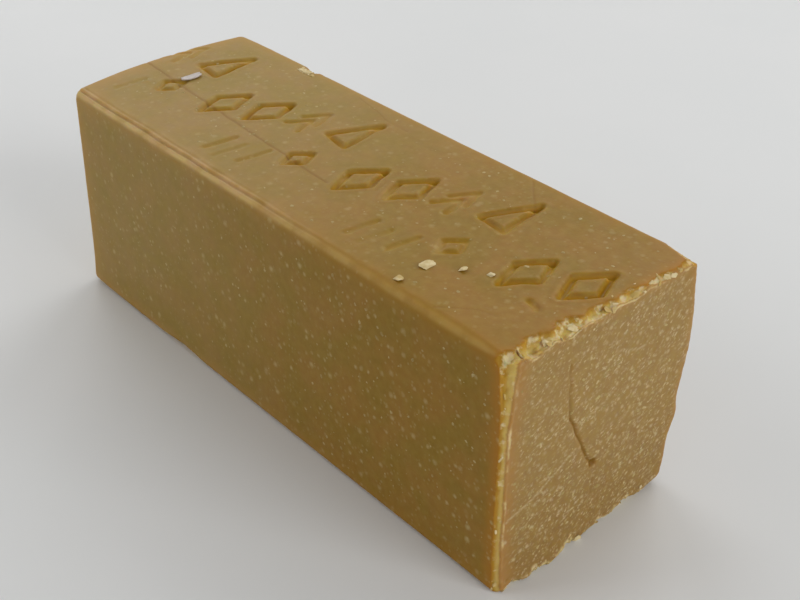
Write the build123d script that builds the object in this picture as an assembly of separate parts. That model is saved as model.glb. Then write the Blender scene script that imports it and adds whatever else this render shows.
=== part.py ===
from build123d import *
import os
import random

# A bare cast cake of rosin: one square-section bar with worn edges, stamped on top
# with rows of plain geometric marks, full of pale grains, and cut rough at one end.
#
# Frame, in millimetres: X runs along the bar towards the rough cut end, Y from the
# near side to the far side, Z up. The origin is the middle of the underside.

# ---- Driving dimensions ----
LENGTH = 60.0
WIDTH = 20.8
HEIGHT = 22.3

# The four long edges of the section, and the edges round each end
NEAR_TOP_RADIUS = 0.9
FAR_TOP_RADIUS = 0.8
FAR_BOTTOM_RADIUS = 1.9
NEAR_BOTTOM_RADIUS = 0.6
MOULDED_END_RADIUS = 1.3
CUT_END_CHAMFER = 0.3

# Shallow mould line beside the near top edge, ending part way along the bar
GROOVE_INSET = 1.2
GROOVE_WIDTH = 0.3
GROOVE_DEPTH = 0.12
GROOVE_LENGTH = 38.0

# Stamped marks: one group of seven, repeated along the bar as a roller leaves it
GROUP_PITCH = 19.9
GROUP_COUNT = 4
FIRST_GROUP_X = -36.9           # the first group starts beyond the moulded end
MARK_HEIGHT = 6.2
MARK_WIDTH = 3.6
SMALL_MARK_HEIGHT = 3.6
SMALL_MARK_WIDTH = 2.5
STROKE = 0.55
DEEP_MARK = 0.55
SHALLOW_MARK = 0.35
FAINT_MARK = 0.18

# Pale grains, flush with the faces and spread at random
GRAIN_DEPTH = 0.35
GRAIN_MIN_SIZE = 0.3
GRAIN_MAX_SIZE = 0.7
GRAIN_SPACING = 1.4
GRAIN_BORDER = 2.0              # grains stay this far inside each face's outline
MARK_CLEARANCE = 3.2            # and this far from the middle of each mark

# Crack down the cut end, from near its top to a pinhole
CRACK_WIDTH = 0.14
CRACK_DEPTH = 0.4
PINHOLE_DIAMETER = 0.6
PINHOLE_DEPTH = 0.9
CRACK_ROUTE = [(-3.7, 7.6), (-3.5, 4.6), (-2.7, 1.8), (-1.6, -0.7), (-0.6, -3.0), (0.0, -3.8)]
CRACK_MIDDLES = [(-2.4, 1.0), (-0.4, -3.4), (-3.6, 6.0)]     # grains keep clear of these places

# Loose scraps lying on top
SLIVER_LENGTH = 1.9
SLIVER_WIDTH = 0.6
SLIVER_THICKNESS = 0.14
SLIVER_PLACE = (-23.55, -0.32)
SLIVER_TURN = 91.0
CHIP_THICKNESS = 0.2
CHIP_PLACES = [                 # x, y, size, turn
    (17.1, -6.1, 1.2, 80),
    (17.0, -9.0, 0.8, 20),
    (21.2, -3.4, 0.7, 140),
    (19.3, -4.5, 0.7, 60),
]

MOULDED_X = -LENGTH / 2
CUT_X = LENGTH / 2
NEAR_Y = -WIDTH / 2
FAR_Y = WIDTH / 2

# One plane on each face, its normal pointing out of the bar
TOP = Plane(origin=(0, 0, HEIGHT), x_dir=(1, 0, 0), z_dir=(0, 0, 1))
NEAR_SIDE = Plane(origin=(0, NEAR_Y, HEIGHT / 2), x_dir=(1, 0, 0), z_dir=(0, -1, 0))
FAR_SIDE = Plane(origin=(0, FAR_Y, HEIGHT / 2), x_dir=(-1, 0, 0), z_dir=(0, 1, 0))
CUT_END = Plane(origin=(CUT_X, 0, HEIGHT / 2), x_dir=(0, 1, 0), z_dir=(1, 0, 0))
MOULDED_END = Plane(origin=(MOULDED_X, 0, HEIGHT / 2), x_dir=(0, -1, 0), z_dir=(-1, 0, 0))


def sunk(plane, outline, depth):
    """A cutter as deep as given, straight into the face under an outline."""
    return extrude(plane * outline, amount=depth, dir=-plane.z_dir)


def raised(plane, outline, thickness):
    """A flat piece of the given thickness, lying on a face."""
    return extrude(plane * outline, amount=thickness, dir=plane.z_dir)


# ---- The bar ----

def plain_bar():
    """The bar before anything is stamped, cut or broken."""
    section = Rectangle(WIDTH, HEIGHT)
    corners = section.vertices()
    radii = {
        (-1, 1): NEAR_TOP_RADIUS,
        (1, 1): FAR_TOP_RADIUS,
        (1, -1): FAR_BOTTOM_RADIUS,
        (-1, -1): NEAR_BOTTOM_RADIUS,
    }
    for (side, level), radius in radii.items():
        corner = corners.sort_by_distance((side * WIDTH / 2, level * HEIGHT / 2, 0))[0]
        section = fillet(section.vertices().sort_by_distance(corner.center())[0], radius)
    bar = extrude(CUT_END * section, amount=-LENGTH)
    ends = bar.faces().sort_by(Axis.X)
    bar = fillet(ends[0].edges(), MOULDED_END_RADIUS)
    cut_end = bar.faces().sort_by(Axis.X)[-1]
    return chamfer(cut_end.edges(), CUT_END_CHAMFER)


def mould_line():
    """The shallow groove pressed beside the near top edge."""
    middle = Pos(MOULDED_X + GROOVE_LENGTH / 2, NEAR_Y + GROOVE_INSET)
    return sunk(TOP, middle * SlotOverall(GROOVE_LENGTH, GROOVE_WIDTH), GROOVE_DEPTH)


# ---- Stamped marks ----

def lozenge(width, height):
    """An open diamond."""
    outer = Polygon((-width / 2, 0), (0, height / 2), (width / 2, 0), (0, -height / 2), align=None)
    return outer - offset(outer, -STROKE)


def chevron(width, height):
    """Two strokes meeting at the top."""
    half = width / 2
    rise = height / 2
    return Polygon(
        (-half, -rise), (-half, -rise + STROKE * 1.3), (0, rise),
        (half, -rise + STROKE * 1.3), (half, -rise), (0, rise - STROKE * 1.3), align=None)


def chevrons(width, height):
    """Two chevrons, one above the other."""
    single = chevron(width, height / 2)
    return Pos(0, height / 4) * single + Pos(0, -height / 4) * single


def triangle(width, height):
    """An open triangle, point up."""
    half = width / 2
    rise = height / 2
    outer = Polygon((-half, -rise), (0, rise), (half, -rise), align=None)
    return outer - offset(outer, -STROKE)


def bar_mark(width, height):
    """One upright stroke."""
    return Rectangle(STROKE, height)


def twin_bars(width, height):
    """Two upright strokes."""
    stroke = bar_mark(width, height)
    reach = (width - STROKE) / 2
    return Pos(-reach, 0) * stroke + Pos(reach, 0) * stroke


# Each mark of a group: shape, place from the group's first lozenge, size and depth
STAMP = [
    (lozenge, 0.0, -1.1, MARK_WIDTH, MARK_HEIGHT, DEEP_MARK),
    (lozenge, 4.2, 0.9, MARK_WIDTH, MARK_HEIGHT, DEEP_MARK),
    (chevrons, 8.3, 2.7, SMALL_MARK_WIDTH, MARK_HEIGHT - 1.4, SHALLOW_MARK),
    (triangle, 13.2, 4.5, MARK_WIDTH, MARK_HEIGHT, DEEP_MARK),
    (twin_bars, 7.2, -6.2, SMALL_MARK_WIDTH, SMALL_MARK_HEIGHT, FAINT_MARK),
    (bar_mark, 10.4, -5.4, SMALL_MARK_WIDTH, SMALL_MARK_HEIGHT, FAINT_MARK),
    (lozenge, 13.3, -2.8, SMALL_MARK_WIDTH, SMALL_MARK_HEIGHT, SHALLOW_MARK),
]
MARK_TILT = -7.0                # the marks lean a little towards the moulded end
LAST_DASH = (26.2, -4.0, 1.3)   # all that the cut left of the next small mark


def stamped_marks():
    """Every mark whose middle falls on the bar: a list of (cutter, middle)."""
    marks = []
    for group in range(GROUP_COUNT):
        start = FIRST_GROUP_X + group * GROUP_PITCH
        for shape, along, across, width, height, depth in STAMP:
            x = start + along
            if MOULDED_X + 1 < x < CUT_X - 2:
                outline = Pos(x, across) * Rot(0, 0, MARK_TILT) * shape(width, height)
                marks.append((sunk(TOP, outline, depth), (x, across)))
    x, across, length = LAST_DASH
    dash = Pos(x, across) * SlotOverall(length, STROKE)
    marks.append((sunk(TOP, dash, SHALLOW_MARK), (x, across)))
    return marks


# ---- Crack and pinhole in the cut end ----

def crack():
    """A thin wandering crack that ends in a pinhole, as one cutter."""
    line = trace(Polyline(*CRACK_ROUTE), CRACK_WIDTH)
    hole = Pos(*CRACK_ROUTE[-1]) * Circle(PINHOLE_DIAMETER / 2)
    return sunk(CUT_END, line, CRACK_DEPTH) + sunk(CUT_END, hole, PINHOLE_DEPTH)


# ---- Pale grains ----

def grain(plane, x, y, size, turn):
    """A cutter for one grain: an uneven six-sided prism sunk into a face."""
    outline = Polygon(
        (-0.5 * size, -0.1 * size), (-0.2 * size, 0.32 * size), (0.25 * size, 0.3 * size),
        (0.55 * size, 0.05 * size), (0.2 * size, -0.3 * size), (-0.25 * size, -0.34 * size), align=None)
    return sunk(plane, Pos(x, y) * Rot(0, 0, turn) * outline, GRAIN_DEPTH)


def scatter(plane, width, height, count, seed, keep_clear=()):
    """Grain cutters spread over one face, clear of each other and of the marks."""
    draw = random.Random(seed)
    placed = []
    cutters = []
    while len(cutters) < count:
        x = draw.uniform(-1, 1) * (width / 2 - GRAIN_BORDER)
        y = draw.uniform(-1, 1) * (height / 2 - GRAIN_BORDER)
        size = draw.uniform(GRAIN_MIN_SIZE, GRAIN_MAX_SIZE)
        turn = draw.uniform(0, 360)
        crowded = any(abs(x - px) + abs(y - py) < GRAIN_SPACING for px, py in placed)
        on_mark = any(abs(x - mx) + abs(y - my) < MARK_CLEARANCE for mx, my in keep_clear)
        if crowded or on_mark:
            continue
        placed.append((x, y))
        cutters.append(grain(plane, x, y, size, turn))
    return cutters


# ---- Broken edges ----

def chip_cutter(x, y, z, size, turn):
    """A tilted block that bites a flake off an edge."""
    long, deep, high = size
    return Pos(x, y, z) * Rot(*turn) * Box(long, deep, high)


def cut_end_top_flakes():
    """Flakes crumbled along the top edge of the cut end."""
    return [
        chip_cutter(CUT_X, -8.6, HEIGHT, (1.7, 1.9, 0.8), (0, 38, 8)),
        chip_cutter(CUT_X, -5.9, HEIGHT, (1.2, 1.5, 0.7), (0, 44, -10)),
        chip_cutter(CUT_X, -3.2, HEIGHT, (0.9, 2.2, 0.6), (0, 47, 6)),
        chip_cutter(CUT_X, 0.4, HEIGHT, (1.1, 1.6, 0.7), (0, 42, -7)),
        chip_cutter(CUT_X, 3.4, HEIGHT, (0.8, 2.0, 0.6), (0, 50, 5)),
        chip_cutter(CUT_X, 6.9, HEIGHT, (1.0, 1.8, 0.6), (0, 45, -5)),
    ]


def cut_end_bottom_flakes():
    """Flakes along the lower edge of the cut end, clear of the underside."""
    return [
        chip_cutter(CUT_X, -7.4, 0.75, (0.7, 1.8, 0.5), (0, 10, 0)),
        chip_cutter(CUT_X, -3.9, 0.8, (0.6, 2.4, 0.45), (0, -8, 4)),
        chip_cutter(CUT_X, 0.1, 0.75, (0.7, 1.6, 0.5), (0, 12, -6)),
        chip_cutter(CUT_X, 4.3, 0.9, (0.8, 2.6, 0.5), (0, 0, 5)),
    ]


def near_upright_flakes():
    """Flakes on the near upright edge of the cut end."""
    return [
        chip_cutter(CUT_X, NEAR_Y, 19.0, (0.9, 0.9, 1.6), (0, 0, 45)),
        chip_cutter(CUT_X, NEAR_Y, 13.4, (0.8, 0.8, 2.2), (4, 0, 45)),
        chip_cutter(CUT_X, NEAR_Y, 6.2, (0.7, 0.7, 1.8), (-5, 0, 45)),
    ]


def far_edge_notch():
    """The bite missing from the far top edge, and the flake left standing in it."""
    bite = chip_cutter(-17.6, FAR_Y, HEIGHT, (3.0, 1.1, 1.1), (45, 0, 4))
    flake = chip_cutter(-18.4, FAR_Y - 0.8, HEIGHT - 0.4, (1.1, 0.9, 0.7), (30, 0, -12))
    return bite, flake


# ---- Loose scraps on top ----

def loose_sliver():
    """A thin curved shaving lying across the top near the moulded end."""
    half = SLIVER_LENGTH / 2
    spine = ThreePointArc((-half, 0), (0, 0.25), (half, 0))
    shaving = trace(spine, SLIVER_WIDTH)
    return raised(TOP, Pos(*SLIVER_PLACE) * Rot(0, 0, SLIVER_TURN) * shaving, SLIVER_THICKNESS)


def loose_chips():
    """Small broken chips lying on top, towards the cut end."""
    chips = []
    for x, y, size, turn in CHIP_PLACES:
        outline = Polygon((-0.5, -0.2), (-0.1, 0.35), (0.5, 0.15), (0.3, -0.3), align=None)
        lying = Pos(x, y) * Rot(0, 0, turn) * scale(outline, by=size)
        chips.append(raised(TOP, lying, CHIP_THICKNESS))
    return chips


# ---- Assembly ----

def seat_pieces(bar, cutters):
    """Let pieces into the bar: what each cutter takes, flush with the bar's surface."""
    pieces = []
    for cutter in cutters:
        pieces += (bar & cutter).solids()
    return pieces


def main():
    bar = plain_bar()
    marks = stamped_marks()
    middles = [middle for cutter, middle in marks]

    seated = {
        "top_grains": scatter(TOP, LENGTH, WIDTH, 30, 3, middles),
        "near_side_grains": scatter(NEAR_SIDE, LENGTH, HEIGHT, 44, 5),
        "far_side_grains": scatter(FAR_SIDE, LENGTH, HEIGHT, 44, 7),
        "cut_end_grains": scatter(CUT_END, WIDTH, HEIGHT, 30, 11, CRACK_MIDDLES),
        "moulded_end_grains": scatter(MOULDED_END, WIDTH, HEIGHT, 20, 13),
        "cut_end_top_flakes": cut_end_top_flakes(),
        "cut_end_bottom_flakes": cut_end_bottom_flakes(),
        "near_upright_flakes": near_upright_flakes(),
    }
    bite, flake = far_edge_notch()
    seated["far_edge_flake"] = [flake - bite]

    nodes = {name: seat_pieces(bar, cutters) for name, cutters in seated.items()}
    for cutters in seated.values():
        bar -= cutters
    bar -= [bite, mould_line(), crack()] + [cutter for cutter, middle in marks]
    nodes["rosin_bar"] = bar.solids()
    nodes["loose_sliver"] = loose_sliver().solids()
    nodes["loose_chips"] = [solid for chip in loose_chips() for solid in chip.solids()]

    os.makedirs("parts", exist_ok=True)
    for name, solids in nodes.items():
        export_step(Compound(children=solids), f"parts/{name}.step")


main()
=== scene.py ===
import itertools
import math

import bmesh
import bpy
import numpy as np
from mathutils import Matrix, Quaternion, Vector
from mathutils.bvhtree import BVHTree


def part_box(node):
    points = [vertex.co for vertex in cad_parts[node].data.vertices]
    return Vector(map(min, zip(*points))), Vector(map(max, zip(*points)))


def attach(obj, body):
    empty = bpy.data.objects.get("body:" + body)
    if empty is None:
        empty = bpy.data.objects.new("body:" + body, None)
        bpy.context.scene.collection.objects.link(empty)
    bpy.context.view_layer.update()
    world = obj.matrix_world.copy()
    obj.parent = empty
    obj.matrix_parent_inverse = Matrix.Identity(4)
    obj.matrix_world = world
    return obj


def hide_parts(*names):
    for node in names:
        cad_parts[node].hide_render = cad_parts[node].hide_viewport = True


# The looks of a bare rosin bar: its worn surface, the pale grains and flakes in it, and the
# loose scraps on top. X runs along the bar towards the rough cut end, Y from the near side to
# the far side, Z up. Lengths are in millimetres until a mesh is made.

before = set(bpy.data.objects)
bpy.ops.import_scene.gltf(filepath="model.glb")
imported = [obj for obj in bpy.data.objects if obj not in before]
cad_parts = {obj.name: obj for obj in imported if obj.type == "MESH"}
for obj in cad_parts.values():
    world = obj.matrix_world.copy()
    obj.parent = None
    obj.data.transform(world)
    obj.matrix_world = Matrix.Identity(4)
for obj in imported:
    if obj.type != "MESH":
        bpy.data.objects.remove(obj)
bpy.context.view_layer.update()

MM = 0.001
BAR_LOW, BAR_HIGH = (np.array(corner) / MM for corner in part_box("rosin_bar"))
LENGTH, WIDTH, HEIGHT = BAR_HIGH - BAR_LOW
REAR_X, CUT_X = BAR_LOW[0], BAR_HIGH[0]
NEAR_Y, FAR_Y = BAR_LOW[1], BAR_HIGH[1]

# Each face: the axis that it faces along, and which way
FACES = {
    "rear": (0, -1),
    "cut": (0, 1),
    "near": (1, -1),
    "far": (1, 1),
    "base": (2, -1),
    "top": (2, 1),
}

# ---- Edges ----
# Rounding of each edge, by the two faces that meet there
EDGE_RADII = {
    ("top", "near"): 1.05,
    ("top", "far"): 0.6,
    ("base", "far"): 3.3,
    ("base", "near"): 0.5,
    ("rear", "top"): 1.1,
    ("rear", "near"): 1.2,
    ("rear", "far"): 1.0,
    ("rear", "base"): 0.7,
    ("cut", "top"): 0.3,
    ("cut", "near"): 0.45,
    ("cut", "far"): 0.8,
    ("cut", "base"): 0.3,
}
RADIUS_REACH = 1.3              # how quickly one edge's rounding gives way to another's

# ---- How the bar differs from a true box ----
# Shift of each corner, by the three faces that meet there
CORNER_SHIFTS = {
    ("rear", "near", "top"): (0.15, 0.1, -0.2),
    ("cut", "near", "top"): (-0.05, 0.1, 0.2),
    ("cut", "far", "top"): (0.15, 0.15, 0.25),
    ("rear", "far", "top"): (0.0, 0.0, -0.05),
    ("rear", "near", "base"): (-0.15, -0.2, 0.1),
    ("cut", "near", "base"): (0.15, -0.05, 0.0),
    ("cut", "far", "base"): (0.2, 0.1, 0.0),
}
REAR_PILLOW = 0.6               # the moulded end bulges outwards
TOP_CROWN = 0.35                # and the top rises towards it
FAR_SWELL = 1.25                # the far side swells outwards
FAR_SWELL_LEVEL = 0.66          # most at this share of the height
FAR_SWELL_REACH = 0.3           # and over about this share of it
FAR_LIP = 0.5                   # a thin lip runs across it near the cut end
FAR_LIP_Z = 6.7
FAR_LIP_REACH = 2.2
CUT_FOOT = 0.78                 # the cut end's lower edge pushes outwards
CUT_FOOT_Y = NEAR_Y + 5
CUT_FOOT_REACH = 8.0
# How quickly each of these dies away from its face or edge
REAR_PILLOW_FADE = 5.0
TOP_CROWN_FADE = 12.0
FAR_SWELL_FADE = 30.0
FAR_LIP_FADE = 4.0
CUT_FOOT_FADE = 1.5

# ---- The mould line beside the near top edge ----
LINE_FADE = (-8.0, 14.0)        # where along the bar it starts to fade and has gone
LINE_START = (0.1, 1.5)         # how far from the moulded end it starts and is full
LINE_WANDER = 0.06
LINE_SPAN = 1.5                 # how far onto either face it may reach
# Each groove or ridge: distance from the edge, half width, height
LINE_PROFILE = [
    (-0.3, 0.4, 0.10),
    (0.35, 0.2, -0.15),
    (0.68, 0.2, 0.07),
    (1.0, 0.18, -0.08),
]
SEAM_HIGHLIGHT_INSET = 0.3                # it lies in a pinkish painted highlight
SEAM_HIGHLIGHT_REACH = 1.4

# ---- Broken edges ----
# Each edge: its two faces, the axis along it, how ragged it is, how strong the painted glow beside
# it is, how pale it is, its breaks.
# Each break: middle and reach along the edge, then how far it runs over the two faces.
EDGE_BREAKS = [
    ("cut", "top", 1, 0.3, 0.5, 0.3, [
        (-10.0, 2.4, 1.1, 0.8),
        (-7.4, 3.4, 1.4, 1.0),
        (-3.9, 3.4, 1.2, 0.9),
        (-0.6, 3.2, 0.9, 0.7),
        (2.6, 3.2, 0.7, 0.55),
        (6.0, 3.2, 0.5, 0.45),
        (9.0, 2.8, 0.45, 0.45),
    ]),
    ("near", "cut", 2, 0.12, 1.0, 0.0, [
        (22.0, 11.0, 1.1, 0.8),
        (11.0, 60.0, 0.55, 0.45),
    ]),
    ("cut", "base", 1, 0.7, 0.1, 0.9, [
        (-8.6, 1.6, 0.4, 0.45),
        (-5.8, 1.8, 0.45, 0.55),
        (-2.0, 2.2, 0.45, 0.6),
        (2.0, 1.6, 0.35, 0.45),
        (5.4, 2.8, 0.5, 0.7),
    ]),
    ("far", "top", 0, 0.5, 0.0, 0.9, [
        (-17.6, 1.9, 1.1, 0.8),
        (-15.7, 1.2, 0.6, 0.5),
    ]),
    ("far", "top", 0, 0.1, 0.0, 0.0, [
        (29.5, 5.0, 1.0, 0.8),
    ]),
    ("cut", "far", 2, 0.15, 0.5, 0.9, [
        (11.0, 60.0, 0.36, 0.3),
    ]),
    ("near", "base", 0, 0.1, 0.0, 0.0, [
        (-13.0, 7.0, 0.6, 0.6),
    ]),
]
CORNER_BREAKS = [
    {"cut": 1.7, "near": 1.5, "top": 1.9},
    {"cut": 1.2, "far": 1.5, "top": 1.0},
    {"cut": 0.8, "far": 1.6, "base": 1.8},
]
CORNER_RAGGED = 0.1
LEAST_BREAK = 0.16              # a fresh edge is never sharper than this
EDGE_GLOW_DEPTH = 1.1                # how far in from an edge the painted glow of light through the thin rosin reaches
REAR_GLOW_EXTRA = 1.6           # and how much further at the moulded end
LOW_SHADE_DEPTH = 12.0                # how high the painted shade on the cut end reaches above its foot
RIM_GLOW_DEPTH = 1.1               # how far the painted orange glow reaches beside a break
SCOOP = 0.3                     # how hollow a break is
BURR_WIDTH = 0.17               # a pale lip stands where a break meets the cut end
BURR_HEIGHT = 0.04
BRINK_SHADE_WIDTH = 0.2               # and a line of painted shade runs along its other side
CHIP_SIZE = 0.9                 # size of the lumps that a break leaves
TORN_ROUGHNESS = 0.2

# ---- Scratches, cracks and creases: (route, width, depth) ----
TOP_CREASES = [
    ([(-30, -1.6), (-19.6, -2.3), (-13.4, -2.7), (-5.1, -3.2), (1.5, -3.6)], 0.24, 0.055),
    ([(13.0, 9.6), (16.5, 6.2), (17.2, 5.0)], 0.16, 0.03),
    ([(-9.5, 9.4), (-4.0, 8.0), (-1.2, 7.9)], 0.14, 0.025),
    ([(21.5, -9.6), (24.0, -7.4), (25.5, -7.0)], 0.16, 0.03),
]
CUT_CRACKS = [
    ([(-3.7, 18.8), (-3.5, 15.8), (-3.2, 13.4)], 0.22, 0.10),
    ([(-3.2, 13.6), (-2.4, 11.9), (-1.5, 10.0), (-0.6, 8.1), (0.0, 7.4)], 0.24, 0.20),
    ([(0.1, 7.2), (0.3, 5.6), (0.4, 4.2)], 0.2, 0.07),
]
CUT_SCRATCHES = [
    ([(-9.4, 6.9), (-6.0, 7.8), (-2.2, 10.1)], 0.15, 0.04),
    ([(-2.3, 12.3), (0.6, 13.2), (1.7, 13.9)], 0.13, 0.03),
    ([(1.2, 17.6), (3.6, 16.6), (4.6, 16.5)], 0.13, 0.03),
    ([(2.8, 10.1), (3.7, 10.7)], 0.22, 0.02),
]
PINHOLE = (0.1, 7.3, 0.55, 0.45)        # across, up, radius, depth

# ---- Grains, flakes and scraps ----
REACH = 40.0                    # they are set from this far outside the bar
GRAIN_BORDER = 1.3              # grains stay this far inside each face's outline
CRUMB_SPREAD = 0.3
SHARP_ANGLE = 28.0              # degrees between two faces of a lump that meet in a crisp edge
SLIVER_WIDTH = 0.8
SLIVER_BEND = 0.04
SLIVER_THICKNESS = 0.12
SLIVER_CURL = 0.07

# ---- The surface ----
GRID_STEP = 0.15                # between grid lines along and across the bar
GRID_STEP_UP = 0.18             # and up it
GRID_FINE_STEP = 0.09           # and in a band at each end of each axis
GRID_BANDS = (2.2, 2.0, 2.0)
MOST_TRIANGLES = 190000
WAVES = 0.05                    # gentle waves all over, and finer ones
FINE_WAVES = 0.012

# ---- The cut end's streaks ----
STREAK_LEAN = 25.0              # degrees up from the horizontal
STREAK_STRETCH = 1.5
STREAK_RELIEF = 0.04
CUT_WAVES = 0.05
PIT_SIZE = 0.42
PIT_DEPTH = 0.07

# ---- Stamped marks ----
GROUP_PITCH = 19.9
GROUP_COUNT = 4
FIRST_GROUP_X = -36.9           # the first group starts beyond the moulded end
MARK_TILT = -7.0                # degrees
MARK_WOBBLE = 0.11
STROKE = 0.46
WALL = 0.4                      # width of a stroke's sloping wall
RIM = 0.04                      # rim squeezed up beside a stroke
DEEP, SHALLOW, FAINT = 0.5, 0.3, 0.15
MARK_HIGHLIGHT_REACH = 0.9                      # a yellow painted highlight reaches this far around a mark

LOZENGE = [[(-1, 0), (0, 1), (1, 0), (0, -1), (-1, 0)]]
CHEVRONS = [[(-1, -0.1), (0, 1), (1, -0.1)], [(-1, -1), (0, 0.1), (1, -1)]]
TRIANGLE = [[(-1, -1), (0, 1), (1, -1), (-1, -1)]]
BAR_MARK = [[(0, -1), (0, 1)]]
TWIN_BARS = [[(-1, -1), (-1, 1)], [(1, -1), (1, 1)]]
DASH = [[(-1, 0.3), (1, -0.3)]]

# Each mark of a group: strokes, place from the first lozenge, half width, half height, depth
STAMP = [
    (LOZENGE, 0.0, -1.1, 1.5, 2.7, DEEP),
    (LOZENGE, 4.2, 0.9, 1.5, 2.7, DEEP),
    (CHEVRONS, 8.3, 2.7, 1.1, 2.1, SHALLOW),
    (TRIANGLE, 13.2, 4.5, 1.5, 2.6, DEEP),
    (TWIN_BARS, 7.2, -6.2, 0.9, 1.6, FAINT),
    (BAR_MARK, 10.4, -5.4, 0.9, 1.6, FAINT),
    (LOZENGE, 13.3, -2.8, 1.0, 1.5, SHALLOW),
]
LAST_DASH = (DASH, 26.2, -4.0, 0.6, 0.6, SHALLOW)


# ======== Random patterns, the same on every run ========

def hashed(cells, seed):
    """A value from 0 to 1 for each whole-numbered cell."""
    n = cells[..., 0] * 73856093 ^ cells[..., 1] * 19349663 ^ cells[..., 2] * 83492791
    n = (n ^ (seed * 374761393)) & 0x7FFFFFFF
    n = ((n ^ (n >> 13)) * 1274126177) & 0x7FFFFFFF
    n = ((n ^ (n >> 15)) * 668265263) & 0x7FFFFFFF
    return ((n ^ (n >> 14)) & 0xFFFFFF) / 0xFFFFFF


def smooth_noise(points, size, seed):
    """Smooth noise from -1 to 1 whose lumps are about the given size."""
    scaled = points / size
    cell = np.floor(scaled).astype(np.int64)
    part = scaled - cell
    part = part * part * (3 - 2 * part)
    total = np.zeros(len(points))
    for corner in itertools.product((0, 1), repeat=3):
        weight = np.prod(np.where(np.array(corner) == 1, part, 1 - part), axis=1)
        total += weight * hashed(cell + corner, seed)
    return total * 2 - 1


def layered_noise(points, size, seed, layers=3):
    """Smooth noise with finer layers added, each half as large and half as strong."""
    total = np.zeros(len(points))
    for layer in range(layers):
        total += smooth_noise(points, size / 2 ** layer, seed + layer) / 2 ** layer
    return total / (2 - 2 ** (1 - layers))


def crumbs(points, size, seed):
    """Split space into irregular lumps: (distance to the lump's middle, a value per lump)."""
    scaled = points / size
    cell = np.floor(scaled).astype(np.int64)
    nearest = np.full(len(points), 9.0)
    value = np.zeros(len(points))
    for step in itertools.product((-1, 0, 1), repeat=3):
        here = cell + step
        middle = here + np.stack([hashed(here, seed + axis) for axis in range(3)], axis=1)
        distance = np.linalg.norm(scaled - middle, axis=1)
        closer = distance < nearest
        nearest[closer] = distance[closer]
        value[closer] = hashed(here[closer], seed + 3)
    return nearest * size, value


def smoothstep(low, high, values):
    """0 up to low, 1 from high, smooth between them."""
    t = np.clip((values - low) / (high - low), 0, 1)
    return t * t * (3 - 2 * t)


def bump(values, middle, reach):
    """1 at the middle, falling smoothly to 0 at the reach."""
    return 1 - smoothstep(0, reach, np.abs(values - middle))


# ======== The bar's surface ========

def graded(low, high, step, fine, band):
    """Grid lines from low to high, closer together within a band at each end."""
    count = round((high - low - 2 * band) / step) + 1
    ends = np.linspace(0, band, round(band / fine) + 1)[:-1]
    middle = np.linspace(low + band, high - band, count)
    return np.concatenate([low + ends, middle, (high - ends)[::-1]])


def box_lattice(xs, ys, zs):
    """Points and outward-facing quads of a closed box with the given grid lines."""
    shell = np.zeros((len(xs), len(ys), len(zs)), bool)
    shell[[0, -1]] = True
    shell[:, [0, -1]] = True
    shell[:, :, [0, -1]] = True
    index = np.zeros(shell.shape, np.int64)
    index[shell] = np.arange(shell.sum())
    i, j, k = np.nonzero(shell)
    points = np.stack([xs[i], ys[j], zs[k]], axis=1)
    quads = []
    for axis, end in itertools.product(range(3), (0, -1)):
        sheet = np.take(index, end, axis=axis)
        quad = np.stack([sheet[:-1, :-1], sheet[1:, :-1], sheet[1:, 1:], sheet[:-1, 1:]], axis=-1)
        quad = quad.reshape(-1, 4)
        faces_inwards = (end == 0) != (axis == 1)
        quads.append(quad[:, ::-1] if faces_inwards else quad)
    return points, np.concatenate(quads)


def inward(points):
    """How far each point is inside each face's plane."""
    return {
        face: (BAR_HIGH[axis] - points[:, axis]) if way > 0 else (points[:, axis] - BAR_LOW[axis])
        for face, (axis, way) in FACES.items()
    }


def round_edges(points):
    """Round every edge by its own radius: (points, outward directions)."""
    depth = inward(points)
    total = np.full(len(points), 1e-12)
    radius = np.full(len(points), 1e-12)
    for (first, second), edge_radius in EDGE_RADII.items():
        weight = np.exp(-(depth[first] + depth[second]) / RADIUS_REACH)
        total += weight
        radius += weight * edge_radius
    radius = (radius / total)[:, None]
    core = np.clip(points, BAR_LOW + radius, BAR_HIGH - radius)
    outward = points - core
    outward /= np.linalg.norm(outward, axis=1, keepdims=True)
    return core + outward * radius, outward


def settle(points):
    """Where each point of the true box lies on the slightly slumped, uneven bar."""
    depth = inward(points)
    share = {}
    pairs = (("rear", "cut", LENGTH), ("near", "far", WIDTH), ("base", "top", HEIGHT))
    for low, high, size in pairs:
        share[low] = depth[high] / size
        share[high] = depth[low] / size
    moved = points.copy()
    for (end, side, level), shift in CORNER_SHIFTS.items():
        weight = share[end] * share[side] * share[level]
        moved += weight[:, None] * np.array(shift)
    across = 1 - (share["far"] - share["near"]) ** 2
    moved[:, 0] -= REAR_PILLOW * across * np.exp(-depth["rear"] / REAR_PILLOW_FADE)
    moved[:, 2] += TOP_CROWN * across * share["top"] * np.exp(-depth["rear"] / TOP_CROWN_FADE)
    swell = FAR_SWELL * np.exp(-((share["top"] - FAR_SWELL_LEVEL) / FAR_SWELL_REACH) ** 2)
    lip = bump(points[:, 2], FAR_LIP_Z, FAR_LIP_REACH)
    swell += FAR_LIP * lip * np.exp(-depth["cut"] / FAR_LIP_FADE)
    moved[:, 1] += swell * share["far"] ** 2 * np.exp(-depth["cut"] / FAR_SWELL_FADE)
    foot = bump(points[:, 1], CUT_FOOT_Y, CUT_FOOT_REACH) * np.exp(-depth["base"] / CUT_FOOT_FADE)
    moved[:, 0] += CUT_FOOT * foot * np.exp(-depth["cut"] / CUT_FOOT_FADE)
    return moved


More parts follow.
